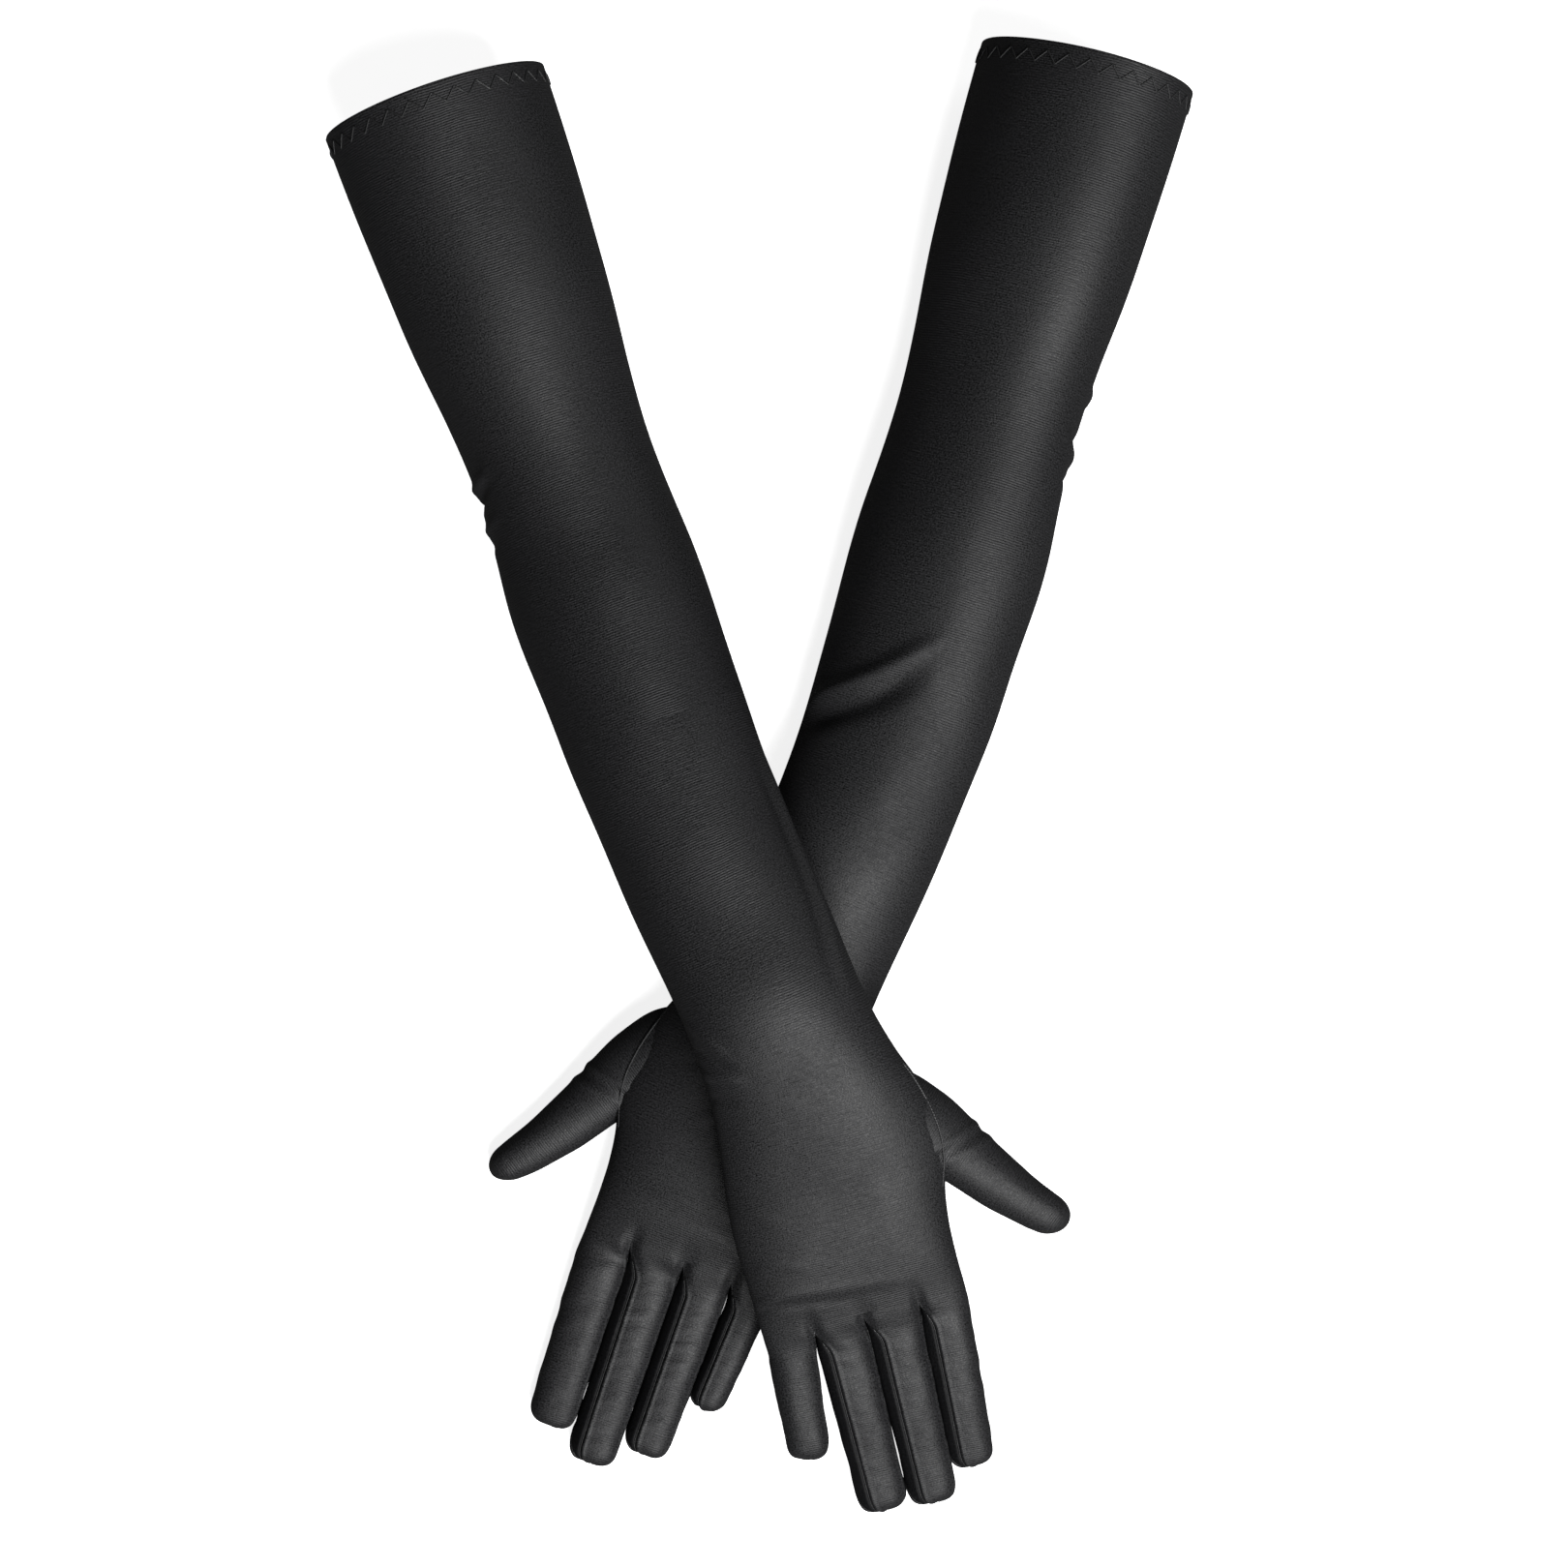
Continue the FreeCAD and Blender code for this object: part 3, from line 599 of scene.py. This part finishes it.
# The four fingers: where each tip lies in the hand's plan, along and across, and how wide each one is. The
# seams lie at angles round the finger, in degrees from its thumb side; near the tip the strips narrow to
# the tip gaps.
fingerShape = {
    "names": ["index", "middle", "ring", "little"],
    "right": {"index": (0.1885, 0.0245, 0.0168), "middle": (0.1985, 0.0068, 0.0182),
              "ring": (0.1965, -0.0122, 0.0182), "little": (0.1690, -0.0345, 0.0158)},
    "left": {"index": (0.1955, 0.0262, 0.0180), "middle": (0.2035, 0.0072, 0.0184),
             "ring": (0.1935, -0.0110, 0.0176), "little": (0.1695, -0.0268, 0.0140)},
    "outerEdges": (0.0387, -0.0392), "height": 0.0168, "tipHeight": 0.0145,
    "tipLength": 0.0085, "rootSpread": 0.0029, "tipFullness": 3.0, "fullness": 2.35, "morphReach": 0.014,
    "rows": 0.0010, "panelColumns": 44, "stripColumns": 24,
    "shownSeams": (12, 118), "hiddenSeams": (-55, 210),
    "seamDip": 0.00060, "seamRise": 0.00042, "seamWidth": 0.0008, "stripRise": 0.35,
    "threadRadius": 0.00016,
    "narrowing": 0.6, "tipGap": 25, "farTipGap": 20, "blend": (0.122, 0.138),
    "ease": 0.00018, "easePace": (0.022, 0.018), "pleatPace": (0.0075, 0.030), "pleatShare": 0.8,
}


# Crotch lines at the two sides of a finger, radial then outer; None where it has no neighbour.
def fingerSides(name):
    place = fingerShape["names"].index(name)
    crotches = armShape["crotchAcross"]
    return (crotches[place - 1] if place > 0 else None), (crotches[place] if place < 3 else None)


# Across the hand, the finger's two edges at its root; the hand's own edge where it has no neighbour.
def fingerEdges(name):
    return [limit if side is None else side for side,
            limit in zip(fingerSides(name), fingerShape["outerEdges"])]


# Angle on the hand's ring at which its back has a given place across it.
def ringAngle(along, across):
    fullness = curveThrough(armShape["fullness"], along)
    return np.arccos(signedPower(across / halfWidth(along, across > 0), fullness / 2))


# Points of a finger panel: at its root they lie on the hand's own surface, carried on past the knuckles,
# and further out they move smoothly onto the finger's rounded tube. panel is back, palm, radialStrip or
# outerStrip.
def fingerPanel(glove, lie, name, panel, distances, shares):
    tipAlong, tipAcross, width = fingerShape[glove][name]
    radial, outer = fingerSides(name)
    rootAcross = sum(fingerEdges(name)) / 2
    root = armShape["knucklePlace"]
    length = np.hypot(tipAlong - root, tipAcross - rootAcross)
    rows, columns = distances[:, None], shares[None, :]
    along = root + rows * (tipAlong - root) / length + 0 * columns
    handAlong = root + rows + 0 * columns
    if panel in ("radialStrip", "outerStrip"):
        across = np.broadcast_to(radial if panel == "radialStrip" else outer, handAlong.shape)
        climb = columns * 2 - 1 if panel == "radialStrip" else 1 - columns * 2
        upward = handHalfHeight(handAlong, across) * climb
    else:
        first = -ringAngle(handAlong, np.full_like(handAlong, outer)) if radial is None else \
            ringAngle(handAlong, np.full_like(handAlong, radial))
        last = ringAngle(handAlong, np.full_like(handAlong, outer)) if outer is not None else \
            2 * np.pi - ringAngle(handAlong, np.full_like(handAlong, radial))
        if panel == "palm":
            first, last = -last, -first
        angle = first + (last - first) * columns
        fullness = curveThrough(armShape["fullness"], handAlong)
        across = signedPower(np.cos(angle), 2 / fullness) * halfWidth(handAlong, np.cos(angle) > 0)
        upward = handHalfHeight(handAlong, across) * np.sign(np.sin(angle))
    lift = rounded(lie["lifts"], handAlong)
    rootPoints = handPoint(lie, handAlong, across)
    rootPoints[..., 2] = lift + curveThrough(armShape["height"], handAlong) / 2 + upward
    backRadial, backOuter = fingerShape["shownSeams"]
    palmRadial, palmOuter = fingerShape["hiddenSeams"]
    if lie["stripSide"] > 0:
        backRadial, backOuter = 180 - backOuter, 180 - backRadial
        palmRadial, palmOuter = 180 - palmOuter, 180 - palmRadial
    narrowing = length * fingerShape["narrowing"]
    near = np.clip((rows - narrowing) / (length * (1 - fingerShape["narrowing"])), 0, 1) ** 2
    gap, farGap = fingerShape["tipGap"], fingerShape["farTipGap"]
    if lie["stripSide"] > 0:
        palmRadial = palmRadial + (backRadial - gap - palmRadial) * near
        palmOuter = palmOuter + (backOuter + farGap - palmOuter) * near
    else:
        palmOuter = palmOuter + (backOuter + gap - palmOuter) * near
        palmRadial = palmRadial + (backRadial - farGap - palmRadial) * near
    if panel == "back":
        first = palmOuter - 360 if radial is None else backRadial + 0 * rows
        last = palmRadial + 360 if outer is None else backOuter + 0 * rows
    elif panel == "palm":
        first, last = palmOuter, palmRadial + 360
    elif panel == "radialStrip":
        first, last = palmRadial, backRadial + 0 * rows
    else:
        first, last = backOuter + 0 * rows, palmOuter
    angle = np.radians(first + (last - first) * columns)
    rounding = np.clip((rows - (length - fingerShape["tipLength"])) / fingerShape["tipLength"], 0, 1)
    closing = (1 - rounding ** fingerShape["tipFullness"]) ** (1 / fingerShape["tipFullness"])
    wide = (width + fingerShape["rootSpread"] * (1 - rows / length)) / 2 * closing
    high = (fingerShape["height"] + (fingerShape["tipHeight"] - fingerShape["height"]) * rows / length) / 2
    shape = 2 / fingerShape["fullness"]
    sideways = signedPower(np.cos(angle), shape) * wide
    tall = signedPower(np.sin(angle), shape) * high * closing
    start, end = handPoint(lie, np.array([root, tipAlong]), np.array([rootAcross, tipAcross]))
    forward = (end - start) / np.linalg.norm(end - start)
    beside = np.array([-forward[1], forward[0], 0]) * lie["side"]
    line = start + forward * rows[..., None] + beside * sideways[..., None]
    tubePoints = line + np.array([0, 0, 1.0]) * (rounded(lie["lifts"], along) + high + tall)[..., None]
    morph = smoothStep(0.001, fingerShape["morphReach"], rows)[..., None]
    return rootPoints * (1 - morph) + tubePoints * morph


# Distances of a finger's rows from its root, closer together round the tip, with one row before the root.
def fingerRows(glove, name):
    tipAlong, tipAcross, _ = fingerShape[glove][name]
    length = np.hypot(tipAlong - armShape["knucklePlace"], tipAcross - sum(fingerEdges(name)) / 2)
    straight = length - fingerShape["tipLength"]
    tip = straight + fingerShape["tipLength"] * np.sin(np.linspace(0, np.pi / 2, 16))
    return np.concatenate([[-0.0005], np.arange(0, straight - 0.0004, fingerShape["rows"]), tip])


# One finger: its panels, each dipped at its seams with a raised welt beside them, and the sewing thread.
def makeFinger(glove, lie, name):
    radial, outer = fingerSides(name)
    panels = {"index": ["back", "outerStrip"], "middle": ["back", "palm", "radialStrip", "outerStrip"],
              "ring": ["back", "palm", "radialStrip", "outerStrip"],
              "little": ["back", "radialStrip"]}[name]
    stands = {"back": [name + ("_back" if radial is not None and outer is not None else "_panel")],
              "palm": [name + "_palm"],
              "radialStrip": ["fourchette_" + name + "_thumb_side"],
              "outerStrip": ["fourchette_" + name + "_outer_side"]}
    distances = fingerRows(glove, name)
    outward = -lie["side"]
    edgesAcross = [value for value in (radial, outer) if value is not None]
    middle = sum(edgesAcross) / len(edgesAcross)
    start, end = handPoint(lie, np.array(fingerShape["blend"]), np.array([middle, middle]))
    threads = []
    for panel in panels:
        strip = panel.endswith("Strip")
        count = fingerShape["stripColumns"] if strip else fingerShape["panelColumns"]
        if panel == "back" and (radial is None or outer is None):
            count = count * 2
        t = np.linspace(0, 1, count)
        shares = t - 0.8 * np.sin(2 * np.pi * t) / (2 * np.pi)
        base = fingerPanel(glove, lie, name, panel, distances, shares)
        baseNormal = gridNormals(base, False, outward)
        stepAround = np.linalg.norm(np.diff(base, axis=1), axis=-1)
        fromFirst = np.concatenate([np.zeros((len(base), 1)), np.cumsum(stepAround, axis=1)], axis=1)
        edge = np.minimum(fromFirst, fromFirst[:, -1:] - fromFirst)
        grown = smoothStep(0.003, 0.010, distances)[:, None]
        width = fingerShape["seamWidth"]
        relief = -fingerShape["seamDip"] * np.exp(-(edge / (0.6 * width)) ** 2)
        rise = fingerShape["seamRise"] * (fingerShape["stripRise"] if strip else 1.0)
        relief = relief + rise * np.exp(-((edge - 1.7 * width) / (0.9 * width)) ** 2)
        seed = 40 + 7 * fingerShape["names"].index(name) + len(panel)
        ease = softField(distances[:, None], fromFirst, *fingerShape["easePace"], seed)
        slanted = distances[:, None] + 0.35 * fromFirst
        tight = softField(slanted, fromFirst, *fingerShape["pleatPace"], seed + 60)
        ease = ease + (0 if strip else fingerShape["pleatShare"]) * np.clip(tight, -0.4, 1.2)
        room = smoothStep(0.0, 0.003, fromFirst[:, -1:])
        points = base + baseNormal * (grown * room * (relief + fingerShape["ease"] * ease))[..., None]
        points[-1] = base[-1]
        normals = gridNormals(points, False, outward)
        normals[-1] = normals[-2].mean(axis=0)
        # the strips take the satin whose darker colour is painted shade between the fingers
        materials = (shadeStripSatin, lining) if strip else (satin, lining)
        piece = clothPiece(glove + "_" + name + "_" + panel, points[1:], normals[1:], armShape["cloth"],
                           False,
                           outward, materials, pole=True)
        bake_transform(piece)
        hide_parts(*[glove + "_" + node for node in stands[panel]])
        if strip:
            for column in (0, -1):
                lifted = base[:, column] - baseNormal[:, column] * 0.00005
                threads.append((lifted[8:-4], baseNormal[8:-4, column]))
    piece = threadPiece(glove + "_" + name + "_thread", threads, fingerShape["threadRadius"], False, thread)
    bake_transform(piece)
    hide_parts(glove + "_" + name + "_seam_ridges")


thumbShape = {
    "tipLength": 0.0080, "blend": (0.045, 0.072), "ease": 0.00015, "threadRadius": 0.00045,
    "pleat": 0.0005, "pleatPlace": 0.036, "pleatSlant": 0.006, "pleatWidth": 0.0016,
    "outerHalf": [(0, 0.0100), (0.010, 0.0143), (0.025, 0.0149), (0.046, 0.0116), (0.061, 0.0092),
                  (0.076, 0.0076), (0.095, 0.0062)],
    "innerHalf": [(0, 0.0100), (0.03, 0.0122), (0.046, 0.0118), (0.066, 0.0112), (0.080, 0.0094),
                  (0.095, 0.0060)],
    "height": [(0, 0.027), (0.020, 0.0260), (0.045, 0.0215), (0.070, 0.0185), (0.095, 0.0150)],
    "fullness": 2.15, "tipFullness": 2.2, "columns": 90, "rows": 0.0010,
    "seam": [(0.030, 0.0375), (0.035, 0.041), (0.041, 0.0435), (0.048, 0.045), (0.060, 0.0462),
             (0.068, 0.0455),
             (0.074, 0.0432), (0.079, 0.040)],
}


# The thumb's line: its start, its unit steps forward and sideways, and its length.
def thumbLine(lie):
    start, end = handPoint(lie, *[np.array([lie["thumb"][stop][place] for stop in ("root", "tip")])
                                  for place in (0, 1)])
    length = np.linalg.norm(end - start)
    forward = (end - start) / length
    return start, forward, np.array([-forward[1], forward[0], 0]) * lie["side"], length


# Thumb: superellipse rings about its own line, from inside the palm to the rounded tip.
def thumbSurface(lie, distances, angles):
    start, forward, beside, length = thumbLine(lie)
    rounding = np.clip((distances - (length - thumbShape["tipLength"])) / thumbShape["tipLength"], 0, 1)
    closing = ((1 - rounding ** thumbShape["tipFullness"]) ** (1 / thumbShape["tipFullness"]))[:, None]
    cosine, sine = np.cos(angles)[None, :], np.sin(angles)[None, :]
    shape = 2 / thumbShape["fullness"]
    wide = np.where(cosine > 0, curveThrough(thumbShape["outerHalf"], distances)[:, None],
                    curveThrough(thumbShape["innerHalf"], distances)[:, None]) * closing
    high = curveThrough(thumbShape["height"], distances)[:, None] / 2
    along = lie["thumb"]["root"][0] + distances / length * (lie["thumb"]["tip"][0] - lie["thumb"]["root"][0])
    lift = rounded(lie["lifts"], along)[:, None]
    sideways = signedPower(cosine, shape) * wide
    upward = signedPower(sine, shape) * high * closing
    return start + forward * distances[:, None, None] + beside * sideways[..., None] + \
        np.array([0, 0, 1.0]) * (lift + high + upward)[..., None]


# Thumb cloth: the thumb's surface with a soft unevenness and pleats where it bends, closed at the tip.
def makeThumb(glove, lie):
    length = np.hypot(*(np.array(lie["thumb"]["tip"]) - np.array(lie["thumb"]["root"])))
    straight = length - thumbShape["tipLength"]
    distances = np.concatenate([np.arange(0, straight - 0.0004, thumbShape["rows"]),
                                straight + thumbShape["tipLength"] * np.sin(np.linspace(0, np.pi / 2, 16))])
    angles = np.linspace(0, 2 * np.pi, thumbShape["columns"], endpoint=False)
    outward = -lie["side"]
    base = thumbSurface(lie, distances, angles)
    baseNormal = gridNormals(base, True, outward)
    ease = softField(distances[:, None], 0.01 * np.cos(angles)[None, :], 0.03, 0.02, 21)
    ease = ease + softField(distances[:, None], 0.01 * np.sin(angles)[None, :], 0.03, 0.02, 22)
    bend = distances[:, None] - thumbShape["pleatPlace"] - thumbShape["pleatSlant"] * np.cos(angles)[None, :]
    bend = bend / thumbShape["pleatWidth"]
    pleats = np.exp(-bend ** 2) - 0.8 * np.exp(-(bend - 2.2) ** 2) + 0.7 * np.exp(-(bend - 4.6) ** 2)
    points = base + baseNormal * (thumbShape["ease"] * ease + thumbShape["pleat"] * pleats)[..., None]
    points[-1] = base[-1].mean(axis=0)
    normals = gridNormals(points, True, outward)
    normals[-1] = normals[-2].mean(axis=0)
    piece = clothPiece(glove + "_thumbCloth", points, normals, armShape["cloth"], True, outward,
                       (satin, lining),
                       pole=True)
    root, forward, _, _ = thumbLine(lie)
    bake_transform(piece)
    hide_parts(glove + "_thumb", glove + "_thumb_base")


# Height of the thumb's surface over the floor at points of the plan, on the back (side 1) or the palm (side
# -1).
def thumbHeight(lie, points, side):
    start, forward, beside, length = thumbLine(lie)
    distance, aside = (points - start) @ forward, (points - start) @ beside
    half = np.where(aside > 0, curveThrough(thumbShape["outerHalf"], distance),
                    curveThrough(thumbShape["innerHalf"], distance))
    inside = np.clip(1 - np.abs(aside / half) ** thumbShape["fullness"], 0, 1)
    along = lie["thumb"]["root"][0] + distance / length * (lie["thumb"]["tip"][0] - lie["thumb"]["root"][0])
    high = curveThrough(thumbShape["height"], distance) / 2
    return rounded(lie["lifts"], along) + high + side * high * inside ** (1 / thumbShape["fullness"])


# Thumb seam: a thread round the join on the back of the hand and on the palm, on whichever cloth stands out
# more.
def makeThumbSeam(glove, lie):
    along = np.linspace(thumbShape["seam"][0][0], thumbShape["seam"][-1][0], 90)
    across = np.minimum(curveThrough(thumbShape["seam"], along),
                        curveThrough(armShape["radialHalf"], along) - 0.0008)
    middle = rounded(lie["lifts"], along) + curveThrough(armShape["height"], along) / 2
    paths = []
    for side in (1, -1):
        path = handPoint(lie, along, across)
        hand = middle + side * handHalfHeight(along, across)
        path[:, 2] = side * np.maximum(side * hand, side * thumbHeight(lie, path, side))
        paths.append((path, np.tile([0, 0, float(side)], (len(path), 1))))
    piece = threadPiece(glove + "_thumbThread", paths, thumbShape["threadRadius"], False, thread)
    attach(piece, glove + "_hand")
    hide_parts(glove + "_thumb_seam_ridge")


hemShape = {"inset": 0.0038, "height": 0.0045, "pitch": 0.0080, "radius": 0.00028, "samples": 12}


# Hem thread: straight stitches to and fro round the arm opening, following the cloth.
def makeHemThread(glove, lie):
    roundLength = np.pi * (armShape["height"][0][1] + 2 * armShape["radialHalf"][0][1]) / 2
    stitches = 2 * int(round(roundLength / hemShape["pitch"]))
    place = np.arange(stitches * hemShape["samples"]) / hemShape["samples"]
    sway = np.abs((place % 2) - 1)
    angles = 2 * np.pi * place / stitches
    along = lie["cuffPlace"] + hemShape["inset"] + hemShape["height"] * sway
    outward = -lie["side"]
    levels = np.linspace(lie["cuffPlace"], lie["cuffPlace"] + 0.012, 13)
    surface = armSurface(lie, levels, angles)
    normal = gridNormals(surface, True, outward)
    surface = surface + normal * sleeveRelief(glove, levels, angles)[..., None]
    spot = (along - levels[0]) / (levels[1] - levels[0])
    low = spot.astype(int)
    share = (spot - low)[:, None]
    column = np.arange(len(place))
    path = surface[low, column] * (1 - share) + surface[low + 1, column] * share
    outwards = normal[low, column]
    path = path + outwards * hemShape["radius"] * 0.7
    piece = threadPiece(glove + "_hemThread", [(path, outwards)], hemShape["radius"], True, thread)
    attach(piece, glove + "_upper")
    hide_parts(glove + "_hem_stitches")


for gloveName, gloveSet in gloveLie.items():
    makeSleeve(gloveName, gloveSet)
    makeHand(gloveName, gloveSet)
    for fingerName in fingerShape["names"]:
        makeFinger(gloveName, gloveSet, fingerName)
    makeThumb(gloveName, gloveSet)
    makeThumbSeam(gloveName, gloveSet)
    makeHemThread(gloveName, gloveSet)
    print(gloveName, "glove made")


# The camera's place, the floor's tone in the picture and for the bounce on to the gloves, and the lights.
studio = {
    "cameraPlace": (0.01045, -0.00595, 1.5), "lens": 90.2, "floorTone": 0.95, "bounceTone": 0.08,
    "floorSize": 8.0,
    "rearPlace": (0.90, 1.30, 0.90), "rearSize": 1.2, "rearPower": 5.0,
    "backdrop": 0.95, "fill": 0.02, "softboxPlace": (0.72, -1.12, 1.70), "softboxSize": 1.6,
    "softboxPower": 87.0, "floorGlow": 0.85, "mottleScale": 3, "mottleShare": 0.99,
}


# Floor: one large pale sheet with a faint mottle.
def makeFloor():
    half = studio["floorSize"] / 2
    mesh = bpy.data.meshes.new("floor")
    mesh.from_pydata([(-half, -half, 0), (half, -half, 0), (half, half, 0), (-half, half, 0)], [],
                     [(0, 1, 2, 3)])
    floor = showMesh("floor", mesh)
    material, nodes, links = newMaterial("paleFloor")
    shader = nodes["Principled BSDF"]
    place = nodes.new("ShaderNodeTexCoord")
    mottle = nodes.new("ShaderNodeTexNoise")
    mottle.inputs["Scale"].default_value = studio["mottleScale"]
    ramp = nodes.new("ShaderNodeValToRGB")
    ramp.color_ramp.elements[0].color = (*[studio["floorTone"] * studio["mottleShare"]] * 3, 1)
    ramp.color_ramp.elements[1].color = (*[studio["floorTone"]] * 3, 1)
    path, dim = nodes.new("ShaderNodeLightPath"), nodes.new("ShaderNodeMix")    # less bounce on to the gloves
    dim.data_type = "RGBA"
    dim.inputs["A"].default_value = (*[studio["bounceTone"]] * 3, 1)
    links.new(place.outputs["Object"], mottle.inputs["Vector"])
    links.new(mottle.outputs["Fac"], ramp.inputs["Fac"])
    links.new(path.outputs["Is Camera Ray"], dim.inputs["Factor"])
    links.new(ramp.outputs["Color"], dim.inputs["B"])
    links.new(dim.outputs["Result"], shader.inputs["Base Color"])
    setInputs(shader, {"Roughness": 0.9, "Specular IOR Level": 0.0, "Emission Color": (1, 1, 1, 1)})
    glow = nodes.new("ShaderNodeMath")                                          # lifts the shadows that show
    glow.operation = "MULTIPLY"
    glow.inputs[1].default_value = studio["floorGlow"]
    links.new(path.outputs["Is Camera Ray"], glow.inputs[0])
    links.new(glow.outputs["Value"], shader.inputs["Emission Strength"])
    mesh.materials.append(material)


# Round soft light at a place, turned towards its aim.
def addAreaLight(name, place, aim, size, power):
    light = bpy.data.lights.new(name, "AREA")
    light.shape, light.size, light.energy = "DISK", size, power
    lamp = bpy.data.objects.new(name, light)
    lamp.location = place
    toward = mathutils.Vector(aim) - mathutils.Vector(place)
    lamp.rotation_euler = toward.to_track_quat("-Z", "Y").to_euler()
    bpy.context.scene.collection.objects.link(lamp)


makeFloor()
addAreaLight("softbox", studio["softboxPlace"], (0, 0, 0), studio["softboxSize"], studio["softboxPower"])
addAreaLight("rearSoftbox", studio["rearPlace"], (0, 0, 0), studio["rearSize"], studio["rearPower"])
world = bpy.data.worlds.new("studioWorld")
world.use_nodes = True
worldNodes, worldLinks = world.node_tree.nodes, world.node_tree.links
seen, level = worldNodes.new("ShaderNodeLightPath"), worldNodes.new("ShaderNodeMapRange")
setInputs(level, {"To Min": studio["fill"], "To Max": studio["backdrop"]})
worldLinks.new(seen.outputs["Is Camera Ray"], level.inputs["Value"])
worldLinks.new(level.outputs["Result"], worldNodes["Background"].inputs["Strength"])
worldNodes["Background"].inputs["Color"].default_value = (1, 1, 1, 1)
bpy.context.scene.world = world

camera = bpy.data.cameras.new("camera")
camera.lens, camera.sensor_width = studio["lens"], 36
cameraObject = bpy.data.objects.new("camera", camera)
cameraObject.location = studio["cameraPlace"]
bpy.context.scene.collection.objects.link(cameraObject)
bpy.context.scene.camera = cameraObject
bpy.context.scene.view_settings.view_transform = "Standard"
print("studio set")

bpy.context.view_layer.update()
